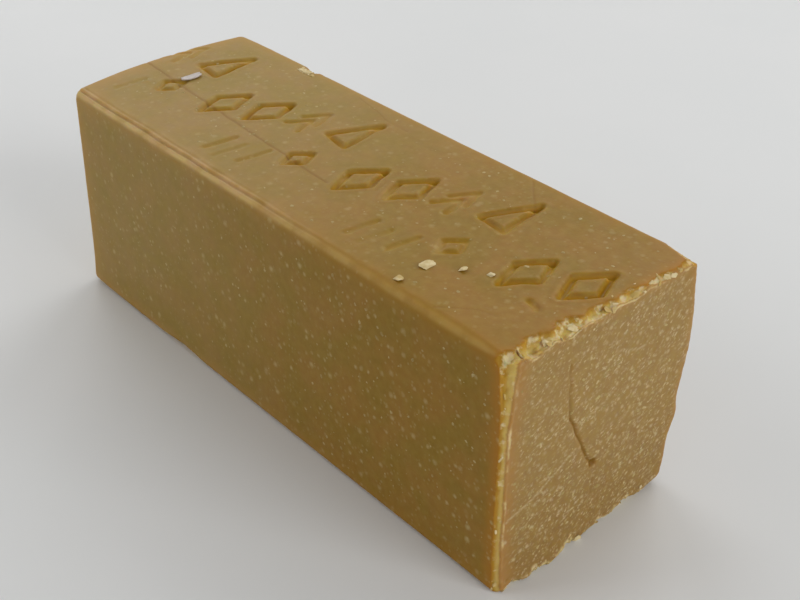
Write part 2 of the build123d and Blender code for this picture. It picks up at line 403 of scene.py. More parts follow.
def break_off(points, runs):
    """Push what lies outside a break back into a hollow: (points, how far each moved, share).
    The break leaves each face at the given run from the edge or corner that they share, and
    the share is 1 on that edge, 0 along the break's border and less beyond it."""
    depth = inward(points)
    share = 1 - sum(depth[face] / run for face, run in runs.items())
    steepness = sum(1 / run ** 2 for run in runs.values())
    missing = np.clip(share, 0, None)
    missing = missing * (1 + SCOOP * missing) / steepness
    moved = points.copy()
    for face, run in runs.items():
        axis, way = FACES[face]
        moved[:, axis] -= way * missing / run
    return moved, missing * np.sqrt(steepness), share


def break_edges(points):
    """Crumble the bar's edges. Returns the points and, for each one: how far it broke away, how
    ragged and how pale the break is, how far across it towards the cut end, the painted glow
    beside it, the burr where it meets the cut end, and the painted shade along its brink on the
    other face."""
    wander = 0.15 * smooth_noise(points, 0.5, 31)[:, None]
    lump = crumbs(points + wander, CHIP_SIZE, 33)[1]
    small = crumbs(points, CHIP_SIZE / 2.4, 37)[1]
    uneven = 1.1 * lump + 0.6 * small - 0.85
    kinds = ("broken", "ragged", "pale", "rim_glow", "burr", "brink_shade", "to_cut")
    wear = {kind: np.zeros(len(points)) for kind in kinds}
    for first, second, along, ragged, glow_share, pale, breaks in EDGE_BREAKS:
        first_run = np.full(len(points), LEAST_BREAK)
        second_run = np.full(len(points), LEAST_BREAK)
        for middle, reach, run, other_run in breaks:
            weight = bump(points[:, along], middle, reach)
            first_run = np.maximum(first_run, weight * run)
            second_run = np.maximum(second_run, weight * other_run)
        crumbled = 1 + ragged * uneven
        runs = {first: first_run * crumbled, second: second_run * crumbled}
        border = bump(inward(points)["cut"], 0, 0.3) if "cut" in runs else 0
        points, pushed, share = break_off(points, runs)
        beyond = share * np.minimum(first_run, second_run)
        newly = pushed > wear["broken"]
        wear["ragged"][newly] = ragged
        wear["pale"][newly] = pale
        if "cut" in runs:
            wear["to_cut"][newly] = (1 - inward(points)["cut"] / runs["cut"])[newly]
        wear["broken"] = np.maximum(wear["broken"], pushed)
        # painted orange glow beside the break, where light shines through the thin rosin
        rim_glow = glow_share * np.exp(np.minimum(beyond, 0) / RIM_GLOW_DEPTH)
        wear["rim_glow"] = np.maximum(wear["rim_glow"], rim_glow)
        wear["burr"] = np.maximum(wear["burr"], border * bump(beyond, -BURR_WIDTH / 2, BURR_WIDTH))
        # painted shade along the break's brink
        brink_shade = ragged * (1 - border) * bump(beyond, 0.05, BRINK_SHADE_WIDTH)
        wear["brink_shade"] = np.maximum(wear["brink_shade"], brink_shade * smoothstep(LEAST_BREAK, 0.5, first_run))
    for corner in CORNER_BREAKS:
        corner_runs = {face: run * (1 + CORNER_RAGGED * uneven) for face, run in corner.items()}
        points, pushed, share = break_off(points, corner_runs)
        wear["ragged"][pushed > wear["broken"]] = CORNER_RAGGED
        wear["broken"] = np.maximum(wear["broken"], pushed)
    return points, wear


def route_distance(u, v, route):
    """Distance of each flat point from the nearest stretch of a route."""
    nearest = np.full(len(u), 99.0)
    for (ax, ay), (bx, by) in zip(route, route[1:]):
        along = ((u - ax) * (bx - ax) + (v - ay) * (by - ay)) / ((bx - ax) ** 2 + (by - ay) ** 2)
        along = np.clip(along, 0, 1)
        reach = np.hypot(u - ax - along * (bx - ax), v - ay - along * (by - ay))
        nearest = np.minimum(nearest, reach)
    return nearest


def line_depth(u, v, lines, wander):
    """How deep a set of scratched or cracked lines goes at each flat point."""
    depth = np.zeros(len(u))
    for route, width, deepest in lines:
        distance = route_distance(u + wander, v + wander, route)
        depth = np.maximum(depth, deepest * bump(distance, 0, width))
    return depth


def mark_places():
    """Every stamped mark on the bar: strokes, x, y, half width, half height, depth."""
    places = [LAST_DASH]
    for group in range(GROUP_COUNT):
        for strokes, along, across, half_width, half_height, depth in STAMP:
            x = FIRST_GROUP_X + group * GROUP_PITCH + along
            if REAR_X + 1 < x < CUT_X - 2:
                places.append((strokes, x, across, half_width, half_height, depth))
    return places


def stamp(points):
    """What the stamped marks do to the top: how far it sinks, how far it is squeezed up beside
    them, and the painted highlight around them."""
    strength = np.clip(0.85 + 0.5 * smooth_noise(points, 2.2, 23), 0.25, 1.1)
    wobble = MARK_WOBBLE * np.stack([smooth_noise(points, 1.4, seed) for seed in (21, 22)], axis=1)
    turn = math.radians(MARK_TILT)
    sunk = np.zeros(len(points))
    squeezed = np.zeros(len(points))
    mark_highlight = np.zeros(len(points))
    for strokes, x, y, half_width, half_height, depth in mark_places():
        dx = points[:, 0] - x + wobble[:, 0]
        dy = points[:, 1] - y + wobble[:, 1]
        near = np.flatnonzero(np.hypot(dx, dy) < half_height + 2)
        u = dx[near] * math.cos(turn) + dy[near] * math.sin(turn)
        v = dy[near] * math.cos(turn) - dx[near] * math.sin(turn)
        size = (half_width, half_height)
        distance = np.min([route_distance(u, v, np.array(line) * size) for line in strokes], axis=0)
        floor = 1 - smoothstep(STROKE / 2 - WALL / 2, STROKE / 2 + WALL / 2, distance)
        rim = bump(distance, STROKE / 2 + WALL, WALL)
        sunk[near] = np.maximum(sunk[near], depth * floor)
        squeezed[near] = np.maximum(squeezed[near], RIM * depth / DEEP * rim)
        mark_highlight[near] = np.maximum(mark_highlight[near], depth / DEEP * bump(distance, 0, MARK_HIGHLIGHT_REACH))
    return sunk * strength, squeezed * (sunk < 0.01), mark_highlight


def mould_line(points, depth):
    """The fine groove and ridges beside the near top edge, fading towards the cut end: their
    height, and the painted highlight that they lie in."""
    fade = 1 - smoothstep(*LINE_FADE, points[:, 0])
    inset = depth["near"] - depth["top"] + LINE_WANDER * smooth_noise(points, 2.5, 41)
    height = sum(rise * bump(inset, place, reach) for place, reach, rise in LINE_PROFILE)
    fade = fade * bump(np.minimum(depth["near"], depth["top"]), 0, LINE_SPAN)
    seam_highlight = fade * bump(inset, SEAM_HIGHLIGHT_INSET, SEAM_HIGHLIGHT_REACH)
    return fade * smoothstep(*LINE_START, depth["rear"]) * height, seam_highlight


def cut_texture(points):
    """The rough, slightly streaked surface that the cut leaves."""
    lean = math.radians(STREAK_LEAN)
    along = points[:, 1] * math.cos(lean) + points[:, 2] * math.sin(lean)
    over = points[:, 2] * math.cos(lean) - points[:, 1] * math.sin(lean)
    streaked = np.stack([along / STREAK_STRETCH, over, np.zeros(len(points))], axis=1)
    rough = STREAK_RELIEF * layered_noise(streaked, 0.55, 51)
    rough += CUT_WAVES * layered_noise(points, 2.6, 55)
    pits, value = crumbs(streaked, PIT_SIZE, 57)
    return rough - PIT_DEPTH * (value > 0.8) * bump(pits, 0, 0.2)


def bar_shape():
    """The bar's points, quads and surface masks."""
    points, quads = box_lattice(
        graded(REAR_X, CUT_X, GRID_STEP, GRID_FINE_STEP, GRID_BANDS[0]),
        graded(NEAR_Y, FAR_Y, GRID_STEP, GRID_FINE_STEP, GRID_BANDS[1]),
        graded(0, HEIGHT, GRID_STEP_UP, GRID_FINE_STEP, GRID_BANDS[2]))
    points, outward = round_edges(points)
    depth = inward(points)
    points, wear = break_edges(points)
    torn = smoothstep(0.02, 0.16, wear["broken"])
    on_top = smoothstep(0.5, 0.95, outward[:, 2]) * (1 - torn)
    on_cut = smoothstep(0.5, 0.95, outward[:, 0])
    off_base = smoothstep(0, 0.6, depth["base"])

    sunk, squeezed, mark_highlight = stamp(points)
    creases = line_depth(points[:, 0], points[:, 1], TOP_CREASES, 0.1 * smooth_noise(points, 2, 43))
    wander = 0.08 * smooth_noise(points, 0.9, 45)
    cracks = line_depth(points[:, 1], points[:, 2], CUT_CRACKS, wander)
    scratches = line_depth(points[:, 1], points[:, 2], CUT_SCRATCHES, wander)
    across, up, radius, hole_depth = PINHOLE
    hole = hole_depth * bump(np.hypot(points[:, 1] - across, points[:, 2] - up), 0, radius)

    lift = WAVES * layered_noise(points, 7, 61) * off_base
    lift += FINE_WAVES * layered_noise(points, 1.3, 65) * off_base
    lift += on_top * (squeezed - sunk - creases)
    line_height, seam_highlight = mould_line(points, depth)
    lift += line_height
    lift += on_cut * (cut_texture(points) - np.maximum(cracks, hole) - scratches)
    lift += wear["burr"] * BURR_HEIGHT * (1 + smooth_noise(points, 0.5, 73))
    lift -= torn * wear["ragged"] * TORN_ROUGHNESS * crumbs(points, 0.45, 71)[0]
    shaped = settle(points) + outward * lift[:, None]
    shaped[:, 2] = np.maximum(shaped[:, 2], 0)

    nearest_face = np.min(list(depth.values()), axis=0)
    seen_edges = smoothstep(2, 5, depth["base"]) * smoothstep(1, 6, depth["far"])
    others = np.sort(np.stack([depth[face] for face in FACES if face != "cut"]), axis=0)
    off_bottom = smoothstep(0, 2, depth["base"])
    # painted orange glow along the cut end's edges, where light shines through the thin rosin
    cut_rim_glow = np.exp(-np.maximum(depth["cut"], others[0]) / EDGE_GLOW_DEPTH) * (0.3 + 0.7 * off_bottom)
    edge_glow_depth = EDGE_GLOW_DEPTH + REAR_GLOW_EXTRA * np.exp(-depth["rear"] / 4)
    # painted shade in the cracks and the pinhole
    cut_line_shade = np.maximum(cracks / 0.2, hole / 0.15)
    masks = {
        "groove": np.clip(on_top * sunk / DEEP, 0, 1),
        # painted highlight around the marks
        "mark_highlight": on_top * mark_highlight,
        "burr": wear["burr"],
        "brink_shade": wear["brink_shade"],
        "pale": wear["pale"],
        "to_cut": np.clip(wear["to_cut"], 0, 1),
        # painted shade: the cut end is darker towards its foot
        "low": on_cut * np.clip(1 - depth["base"] / LOW_SHADE_DEPTH, 0, 1),
        # painted shade in the creases, cracks and pinhole
        "crease_shade": np.clip(on_top * creases / 0.08 + on_cut * cut_line_shade, 0, 1),
        "scratch": on_cut * scratches / 0.04,
        # painted glow along the edges, where light shines through the thin rosin
        "edge": np.exp(-others[1] / edge_glow_depth),
        # painted highlight along the rounded edges
        "rounding": smoothstep(0.02, 0.22, nearest_face) * seen_edges,
        # painted highlight beside the mould line
        "seam_highlight": seam_highlight,
        "rim_glow": np.maximum(0.95 * cut_rim_glow, wear["rim_glow"]),
        "ahead": depth["rear"] / LENGTH,
        "upwards": on_top,
        "torn": torn,
        "cut": on_cut,
    }
    return shaped, quads, masks


def make_bar():
    """The bar as an object, with fewer triangles where it is smooth."""
    points, quads, masks = bar_shape()
    full = make_mesh("full_bar", points, quads, masks)
    fewer = full.modifiers.new("fewer", "DECIMATE")
    fewer.ratio = MOST_TRIANGLES / (2 * len(quads))
    ready = full.evaluated_get(bpy.context.evaluated_depsgraph_get())
    full.name = "replaced"
    bar = bpy.data.objects.new("bar", bpy.data.meshes.new_from_object(ready))
    bpy.context.collection.objects.link(bar)
    bpy.data.objects.remove(full)
    bar.data.shade_smooth()
    return bar


def make_mesh(name, points, faces, masks=None):
    """A mesh object in metres from points in millimetres, with one attribute per mask."""
    mesh = bpy.data.meshes.new(name)
    mesh.from_pydata((np.asarray(points) * MM).tolist(), [], np.asarray(faces).tolist())
    for mask, values in (masks or {}).items():
        attribute = mesh.attributes.new(mask, "FLOAT", "POINT")
        attribute.data.foreach_set("value", np.asarray(values, np.float32))
    mesh.shade_smooth()
    piece = bpy.data.objects.new(name, mesh)
    bpy.context.collection.objects.link(piece)
    return piece


# ======== Materials ========

class Material:
    """A node material around one Principled shader. Most methods add a node and return its
    output."""

    def __init__(self, name):
        self.material = bpy.data.materials.new(name)
        self.material.use_nodes = True
        self.tree = self.material.node_tree
        self.shader = self.tree.nodes["Principled BSDF"]
        self.place = self.node("TexCoord", {}, "Object")

    def node(self, kind, values, output=0, **settings):
        """A shader node with its inputs fed and its settings made: one of its outputs."""
        node = self.tree.nodes.new("ShaderNode" + kind)
        for setting, value in settings.items():
            setattr(node, setting, value)
        for socket, value in values.items():
            self.feed(node.inputs[socket], value)
        return node.outputs[output]

    def feed(self, socket, value):
        """Link a node's output to a socket, or set the socket to a value."""
        if isinstance(value, bpy.types.NodeSocket):
            self.tree.links.new(value, socket)
        else:
            socket.default_value = value

    def set(self, **values):
        """Set the shader's sockets, such as Base_Color."""
        for socket, value in values.items():
            self.feed(self.shader.inputs[socket.replace("_", " ")], value)

    def mask(self, name):
        """The value of one of the mesh's attributes."""
        return self.node("Attribute", {}, "Fac", attribute_name=name)

    def times(self, first, second):
        """The product of two values."""
        return self.node("Math", {0: first, 1: second}, operation="MULTIPLY")

    def plus(self, first, second):
        """The sum of two values."""
        return self.node("Math", {0: first, 1: second}, operation="ADD")

    def larger(self, first, second):
        """The larger of two values."""
        return self.node("Math", {0: first, 1: second}, operation="MAXIMUM")

    def noise(self, size, detail=3, place=None):
        """Noise from 0 to 1 with lumps of a size in millimetres."""
        values = {"Vector": place or self.place, "Scale": 1 / (size * MM), "Detail": detail}
        return self.node("TexNoise", values)

    def steps(self, value, low, high):
        """0 at low, 1 at high, smooth between them."""
        values = {"Value": value, "From Min": low, "From Max": high}
        return self.node("MapRange", values, interpolation_type="SMOOTHSTEP")

    def blend(self, share, first, second):
        """A colour between two colours."""
        values = {0: share, 6: self.opaque(first), 7: self.opaque(second)}
        return self.node("Mix", values, 2, data_type="RGBA")

    def opaque(self, value):
        """A colour with its opacity added. A node's output is left as it is."""
        return (*value, 1) if isinstance(value, tuple) else value

    def specks(self, spacing, radius, share, place=None):
        """Soft round specks of random strength. About this share of the cells holds one."""
        values = {"Vector": place or self.place, "Scale": 1 / (spacing * MM)}
        distance = self.node("TexVoronoi", values, "Distance")
        cell = self.node("TexVoronoi", values, "Color")
        strength = self.steps(self.node("SeparateColor", {0: cell}), 1 - share, 1)
        return self.times(strength, self.steps(distance, radius / spacing, 0.1 * radius / spacing))

    def wobbly(self, size, share):
        """Coordinates pushed about at random, by up to a share of a size in millimetres."""
        values = {"Vector": self.place, "Scale": 1 / (size * MM)}
        push = self.node("TexNoise", values, "Color")
        values = {0: push, 1: (2 * share * size * MM,) * 3, 2: self.place}
        return self.node("VectorMath", values, operation="MULTIPLY_ADD")

    def streaked(self):
        """Coordinates that stretch what they carry along the cut end's streaks."""
        turn = (math.radians(STREAK_LEAN), 0, 0)
        values = {"Vector": self.place, "Rotation": turn, "Scale": (1, STREAK_STRETCH, 1)}
        return self.node("Mapping", values, vector_type="TEXTURE")


# Colours, as linear red, green and blue. Those named REAR are the moulded end's.
REAR_OLIVE = (0.325, 0.214, 0.043)
REAR_BROWN = (0.358, 0.218, 0.057)
OLIVE = (0.278, 0.160, 0.011)
BROWN = (0.322, 0.162, 0.018)
CUT_TAN = (0.335, 0.205, 0.066)
# painted shade, low on the cut end
CUT_SHADE = (0.230, 0.120, 0.026)
# painted orange glow along the cut end's edges, on the cut end
CUT_RIM = (0.400, 0.208, 0.055)
# painted glow of light through the thin rosin along the edges
REAR_EDGE_GLOW = (0.450, 0.262, 0.060)
EDGE_GLOW = (0.375, 0.190, 0.015)
# painted highlight along the rounded edges
REAR_EDGE_HIGHLIGHT = (0.660, 0.490, 0.190)
EDGE_HIGHLIGHT = (0.500, 0.310, 0.060)
# painted highlight beside the mould line
PINKISH_HIGHLIGHT = (0.590, 0.385, 0.190)
# painted orange glow beside the cut end's edges and breaks
ORANGE = (0.420, 0.185, 0.012)
DEEP_AMBER = (0.470, 0.255, 0.022)
AMBER = (0.620, 0.440, 0.120)
GROOVE_AMBER = (0.480, 0.255, 0.006)
CREVICE_SHADE = (0.260, 0.120, 0.006)
# painted shade in creases, cracks and along the brinks of breaks
YELLOW = (0.430, 0.285, 0.050)
CREAM = (0.720, 0.590, 0.310)
SPECK = (0.520, 0.400, 0.165)
CUT_FLECK = (0.590, 0.460, 0.250)


def rosin():
    """Mottled tan rosin with pale specks, more amber where it is broken and paler towards the
    moulded end. Painted light: an amber glow along its thin edges and an orange glow along the
    cut end's edges and breaks; highlights along the rounded edges, beside the mould line and
    around the marks; shade low on the cut end, in creases and cracks and along the breaks' brinks."""
    mat = Material("rosin")
    cut, torn, ahead = mat.mask("cut"), mat.mask("torn"), mat.mask("ahead")
    mottle = mat.steps(mat.noise(3.5, 5), 0.34, 0.66)
    ahead = mat.steps(mat.plus(ahead, mat.times(mat.noise(9), 0.3)), 0.3, 1.0)
    rear_tan = mat.blend(mottle, REAR_OLIVE, REAR_BROWN)
    tan = mat.blend(ahead, rear_tan, mat.blend(mottle, OLIVE, BROWN))
    tan = mat.blend(mat.times(cut, 0.9), tan, CUT_TAN)
    # painted shade: the cut end is darker towards its foot
    tan = mat.blend(mat.times(mat.mask("low"), 0.55), tan, CUT_SHADE)
    fine = mat.steps(mat.noise(0.8, 5), 0.3, 0.75)
    tan = mat.blend(mat.times(fine, 0.25), tan, YELLOW)
    # painted glow: the edges are more amber, where light shines through the thin rosin
    edge = mat.steps(mat.plus(mat.mask("edge"), mat.times(mat.noise(3.0, 4), 0.3)), 0.2, 0.95)
    tan = mat.blend(mat.times(edge, 0.8), tan, mat.blend(ahead, REAR_EDGE_GLOW, EDGE_GLOW))
    # painted highlight, in patches, along the rounded edges
    highlight_patches = mat.plus(mat.times(mat.steps(mat.noise(2.5, 4), 0.38, 0.6), 0.45), 0.35)
    tan = mat.blend(mat.times(mat.mask("rounding"), highlight_patches), tan, mat.blend(ahead, REAR_EDGE_HIGHLIGHT, EDGE_HIGHLIGHT))
    # pinkish painted highlight beside the mould line
    seam_highlight = mat.times(mat.mask("seam_highlight"), mat.steps(mat.noise(1.8, 4), 0.3, 0.7))
    tan = mat.blend(mat.times(seam_highlight, 0.75), tan, PINKISH_HIGHLIGHT)
    # painted orange glow along the cut end's edges and beside their breaks
    rim_glow = mat.steps(mat.plus(mat.mask("rim_glow"), mat.times(mat.noise(1.5), 0.25)), 0.3, 0.95)
    tan = mat.blend(mat.times(rim_glow, 0.85), tan, mat.blend(cut, ORANGE, CUT_RIM))

    uneven = mat.wobbly(0.35, 0.4)
    spread = mat.larger(mat.specks(1.3, 0.42, 0.5, uneven), mat.specks(0.8, 0.3, 0.5, uneven))
    spread = mat.larger(mat.times(spread, 0.8), mat.times(mat.specks(0.45, 0.2, 0.5), 0.4))
    spread = mat.times(spread, mat.steps(mat.plus(mat.mask("upwards"), edge), 2.2, -0.2))
    lines = mat.streaked()
    streaks = mat.plus(
        mat.times(mat.steps(mat.noise(0.27, 3, lines), 0.53, 0.74), 0.95),
        mat.times(mat.specks(0.34, 0.18, 0.4, lines), 0.6))
    patches = mat.steps(mat.noise(3.0, 3), 0.35, 0.6)
    streaks = mat.times(mat.times(streaks, cut), mat.plus(mat.times(patches, 0.5), 0.5))
    inside = mat.steps(rim_glow, 0.7, 0.1)
    pale = mat.times(mat.larger(spread, mat.times(streaks, inside)), mat.steps(torn, 0.6, 0.1))
    tan = mat.blend(pale, tan, mat.blend(cut, SPECK, CUT_FLECK))

    # yellow painted highlight around the marks
    mark_highlight = mat.times(mat.mask("mark_highlight"), mat.steps(mat.noise(1.4, 4), 0.4, 0.62))
    tan = mat.blend(mat.times(mark_highlight, 0.6), tan, YELLOW)
    tan = mat.blend(mat.steps(mat.mask("groove"), 0.05, 0.75), tan, GROOVE_AMBER)
    # painted shade in the creases, cracks and pinhole
    tan = mat.blend(mat.mask("crease_shade"), tan, CREVICE_SHADE)
    tan = mat.blend(mat.times(mat.mask("scratch"), 0.7), tan, CUT_FLECK)
    to_cut = mat.steps(mat.plus(mat.mask("to_cut"), mat.times(mat.noise(0.9, 3), 0.6)), 0.45, 0.95)
    broken = mat.blend(to_cut, DEEP_AMBER, AMBER)
    paleness = mat.plus(mat.noise(0.8, 4), mat.times(mat.mask("pale"), 0.25))
    tan = mat.blend(torn, tan, mat.blend(mat.steps(paleness, 0.54, 0.7), broken, CREAM))
    # painted shade along the brink of each break
    tan = mat.blend(mat.mask("brink_shade"), tan, CREVICE_SHADE)
    lip = mat.times(mat.mask("burr"), mat.steps(mat.noise(1.8, 3), 0.42, 0.62))
    tan = mat.blend(mat.times(lip, 0.85), tan, CREAM)

    rough = mat.plus(mat.times(mat.noise(1.2, 4), 0.2), 0.42)
    relief = mat.plus(mat.noise(0.25, 4), mat.times(pale, 0.2))
    ripple = mat.node("Bump", {"Height": relief, "Strength": 0.2, "Distance": 0.05 * MM})
    mat.set(
        Base_Color=tan, Roughness=rough, Normal=ripple, IOR=1.5, Specular_IOR_Level=0.22,
        Subsurface_Weight=0.55, Subsurface_Radius=(1.0, 0.5, 0.12), Subsurface_Scale=0.0012)
    return mat.material


def crumb_material(name, dark, light, size):
    """Pale broken rosin: two colours in patches, differing from one crumb to the next."""
    mat = Material(name)
    patches = mat.times(mat.noise(size, 4), 0.6)
    share = mat.steps(mat.plus(patches, mat.times(mat.mask("shade"), 0.4)), 0.3, 0.68)
    relief = mat.noise(0.12, 4)
    bumps = mat.node("Bump", {"Height": relief, "Strength": 0.35, "Distance": 0.03 * MM})
    mat.set(
        Base_Color=mat.blend(share, dark, light), Roughness=mat.plus(mat.times(relief, 0.3), 0.4),
        Normal=bumps, IOR=1.5, Specular_IOR_Level=0.25)
    return mat.material


# ======== Grains, flakes and scraps ========

def finished(piece, slot, material, *nodes):
    """Give a piece its material and body, and hide the CAD nodes that it stands for; the slot is
    not used.
    """
    piece.data.materials.append(material)
    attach(piece, "root")
    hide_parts(*nodes)
    return piece


def islands(node):
    """Lowest and highest corner of each separate solid in a CAD node, in millimetres."""
    solid = bmesh.new()
    solid.from_mesh(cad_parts[node].data)
    bmesh.ops.remove_doubles(solid, verts=solid.verts, dist=0.001 * MM)
    seen = set()
    found = []
    for start in solid.verts:
        if start in seen:
            continue
        seen.add(start)
        patch = [start]
        for vertex in patch:
            for edge in vertex.link_edges:
                other = edge.other_vert(vertex)
                if other not in seen:
                    seen.add(other)
                    patch.append(other)
        corners = np.array([vertex.co[:] for vertex in patch]) / MM
        found.append((corners.min(axis=0), corners.max(axis=0)))
    solid.free()
    return found


def ball(level):
    """Points and faces of a round ball of radius 1."""
    solid = bmesh.new()
    bmesh.ops.create_icosphere(solid, subdivisions=level, radius=1)
    points = np.array([vertex.co[:] for vertex in solid.verts])
    faces = np.array([[vertex.index for vertex in face.verts] for face in solid.faces])
    solid.free()
    return points, faces


PEBBLE = ball(1)
STONE = ball(3)


def shard(draw, sides):
    """A flat chip 2 across, with an angular outline and about this many broken sides."""
    points, faces = STONE
    points = np.clip(points * (1, 1, 2.5), -1, 1)
    turns = (np.arange(sides) + draw.uniform(-0.35, 0.35, sides)) * 2 * math.pi / sides
    for turn in turns + draw.uniform(0, 6):
        way = np.array((math.cos(turn), math.sin(turn), draw.uniform(-0.5, 0.5)))
        beyond = np.clip(points @ way - draw.uniform(0.3, 0.65), 0, None)
        points = points - beyond[:, None] * way / (way @ way)
    rough = 0.06 * smooth_noise(points + draw.uniform(0, 99, 3), 0.3, 81)
    points = points * (1 + rough[:, None])
    return points / np.abs(points).max(axis=0), faces


def pebble(draw, sides):
    """A small round grain, a little uneven, whatever the number of sides."""
    points, faces = PEBBLE
    return points * draw.uniform(0.8, 1.2, (len(points), 1)), faces


class Scatter:
    """Many small lumps set on the bar and kept as one mesh."""

    def __init__(self, seed):
        self.draw = np.random.default_rng(seed)
        self.points = []
        self.faces = []
        self.shades = []
        self.count = 0

    def add(self, lump, start, way, size, along=None, lift=0.0, sides=0):
        """Set a lump of a size where a line from start along way meets the bar. Its long side
        lies along the given direction, or any, and its middle is lifted off the surface."""
        place, normal, _, _ = SURFACE.ray_cast(Vector(start) * MM, Vector(way))
        if place is None:
            return
        normal = np.array(normal)
        length = np.array(self.draw.normal(size=3) if along is None else along, float)
        length -= normal * (length @ normal)
        length /= np.linalg.norm(length)
        axes = np.stack([length, np.cross(normal, length), normal])
        points, faces = lump(self.draw, sides)
        points = points * (np.array(size) / 2) @ axes
        points = points + np.array(place) / MM + normal * lift
        points[:, 2] = np.maximum(points[:, 2], 0)
        self.points.append(points)
        self.faces.append(faces + self.count)
        self.shades.append(np.full(len(points), self.draw.random()))
        self.count += len(points)

    def piece(self, name):
        """All the lumps as one object."""
        masks = {"shade": np.concatenate(self.shades)}
        lumps = make_mesh(name, np.concatenate(self.points), np.concatenate(self.faces), masks)
        lumps.data.set_sharp_from_angle(angle=math.radians(SHARP_ANGLE))
        return lumps


def set_grains(node, face, count, seed, along=None):
    """Pale grains in one face: one at each CAD grain, and many finer ones between them."""
    axis, way = FACES[face]
    inwards = np.zeros(3)
    inwards[axis] = -way
    flat = [other for other in range(3) if other != axis]
    scatter = Scatter(seed)
    draw = scatter.draw
    spots = [((low + high) / 2, draw.uniform(0.3, 0.5)) for low, high in islands(node)]
    for _ in range(count):
        spot = np.zeros(3)
        spot[flat] = draw.uniform(BAR_LOW[flat] + GRAIN_BORDER, BAR_HIGH[flat] - GRAIN_BORDER)
        spots.append((spot, 0.14 + 0.3 * draw.random() ** 2))
    for spot, size in spots:
        start = spot.copy()
        start[axis] = way * REACH
        lean = None if along is None else np.array(along) + draw.normal(0, 0.35, 3)
        long_side = size * draw.uniform(1.0, 1.7 if along else 1.4)
        scatter.add(pebble, start, inwards, (long_side, size, size * 0.5), lean, -0.15 * size)
    return scatter.piece(node.replace("grains", "specks"))


def flake_rows():
    """Pale flakes on the broken edges: one at each CAD flake, with crumbs along the break.
    Each row: CAD node, direction towards the edge, axis along it, main size, shift off the
    edge, crumb rows. Each crumb row: from, to and how many."""
    return [
        ("cut_end_top_flakes", (1, 0, 1), 1, (1.3, 0.8, 0.16), (0, 0, 0), [
            (-9.0, -7.4, 2), (-7.0, -3.0, 5), (-3.0, 1.0, 5), (1.0, 5.0, 5), (5.0, 9.6, 7)]),
        ("cut_end_bottom_flakes", (1, 0, -1), 1, (1.0, 0.5, 0.18), (0, 0, 0), [
            (-9.9, -8.2, 8), (-6.8, -5.2, 9), (-3.6, -0.6, 13), (1.2, 2.8, 6), (3.4, 7.6, 20)]),
        ("near_upright_flakes", (1, -1, 0), 2, (0.8, 0.3, 0.12), (0, 0, 0), [
            (18.0, 19.0, 2), (0.3, 1.5, 2)]),
        ("far_edge_flake", (0, 0.1, 1), 0, (2.3, 0.9, 0.2), (0.8, -1.15, 0), [
            (-18.7, -16.3, 14)]),
    ]


def set_flakes(node, outwards, axis, main_size, shift, rows, seed):
    """The pale flakes and crumbs along one broken edge."""
    scatter = Scatter(seed)
    draw = scatter.draw
    outwards = np.array(outwards, float)
    along = np.zeros(3)
    along[axis] = 1
    edge = np.where(outwards > 0, BAR_HIGH, BAR_LOW) + shift
    flat = [other for other in range(3) if outwards[other]]
    for low, high in islands(node):
        start = edge + outwards * REACH
        start[axis] = (low[axis] + high[axis]) / 2 + shift[axis]
        lean = along + draw.normal(0, 0.3, 3)
        size = np.array(main_size) * draw.uniform(0.8, 1.2, 3)
        scatter.add(shard, start, -outwards, size, lean, 0.0, sides=6)
    for first, last, count in rows:
        for _ in range(count):
            start = edge + outwards * REACH
            start[flat] += draw.normal(0, CRUMB_SPREAD, 2)
            start[axis] = draw.uniform(first, last)
            size = draw.uniform(0.7, 1.3, 3) * (0.22 + 0.45 * draw.random() ** 2)
            lean = along + draw.normal(0, 0.5, 3)
            scatter.add(shard, start, -outwards, size * (1.4, 0.9, 0.3), lean, 0.0, sides=5)
    return scatter.piece(node.replace("flake", "crumb"))


def loose_chips():
    """Flat chips lying on top."""
    scatter = Scatter(401)
    for low, high in islands("loose_chips"):
        start = (low + high) / 2 + (0, 0, REACH)
        width, depth, _ = high - low
        along = (1, 0, 0) if width > depth else (0, 1, 0)
        size = (1.3 * max(width, depth), 1.3 * min(width, depth), 0.2)
        scatter.add(shard, start, (0, 0, -1), size, along, 0.09, sides=5)
    return scatter.piece("loose_scraps")


def loose_sliver():
    """A thin pale strip that curls up at both ends."""
    low, high = islands("loose_sliver")[0]
    middle = (low + high) / 2
    length = high[1] - low[1]
    points, quads = box_lattice(
        np.linspace(-1, 1, 9), np.linspace(-1, 1, 41), np.linspace(-1, 1, 3))
    along = points[:, 1]
    taper = 1 - 0.55 * np.abs(along) ** 3 + 0.12 * smooth_noise(points * (0, 6, 0) + 0.5, 1, 91)
    start = Vector(middle * MM) + Vector((0, 0, REACH * MM))
    place = SURFACE.ray_cast(start, Vector((0, 0, -1)))[0]
    curl = SLIVER_CURL * along ** 2
    shape = np.stack([
        points[:, 0] * taper * SLIVER_WIDTH / 2 + SLIVER_BEND * (1 - along ** 2),
        along * length / 2,
        points[:, 2] * SLIVER_THICKNESS / 2 + curl + 0.1 * points[:, 0] ** 2 + SLIVER_THICKNESS / 2,
    ], axis=1)
    return make_mesh("sliver", shape + np.array(place) / MM, quads)


# ======== Floor, light and camera ========

# Soft lights that all face the bar: place and size in metres, power in watts
LIGHTS = [
    ("back", (-0.15, 0.45, 0.35), 0.35, 1.00),
    ("right", (0.45, 0.08, 0.22), 0.30, 1.20),
    ("back_left", (-0.40, 0.15, 0.30), 0.30, 0.61),
    ("left_fill", (-0.30, -0.30, 0.25), 0.30, 0.64),
]
ROOM_LIGHT = 0.24

FLOOR_REACH = 900
FLOOR_TONES = (0.755, 0.765, 0.76), (0.775, 0.78, 0.775)

